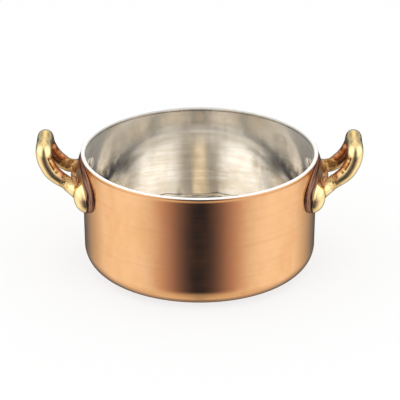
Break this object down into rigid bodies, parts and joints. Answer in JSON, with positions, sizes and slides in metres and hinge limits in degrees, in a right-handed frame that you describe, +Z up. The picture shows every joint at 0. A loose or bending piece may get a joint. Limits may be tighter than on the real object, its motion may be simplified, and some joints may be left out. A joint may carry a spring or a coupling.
{
  "type": "two-handled pot",
  "caption": "Small round copper pot with a tinned inside, a rolled rim, a rounded bottom edge and a cast brass loop handle riveted to each side.",
  "frame": {"origin": "middle of the pot's underside, on the surface that it stands on", "axes": "+Z up along the pot's axis, +X towards the right handle, so both handles lie along X, and -Y towards the viewer of the picture"},
  "size_m": [0.1136, 0.0828, 0.0474],
  "materials": {
    "copper": "satin, brushed round the pot",
    "tin": "wiped tin, soft sheen",
    "brass": "mirror polished casting"
  },
  "bodies": {
    "root": {"pot_body": "copper", "tin_lining": "tin", "handle_right": "brass", "handle_left": "brass", "rivet_right_near": "tin", "rivet_right_far": "tin", "rivet_left_near": "tin", "rivet_left_far": "tin"}
  },
  "joints": []
}
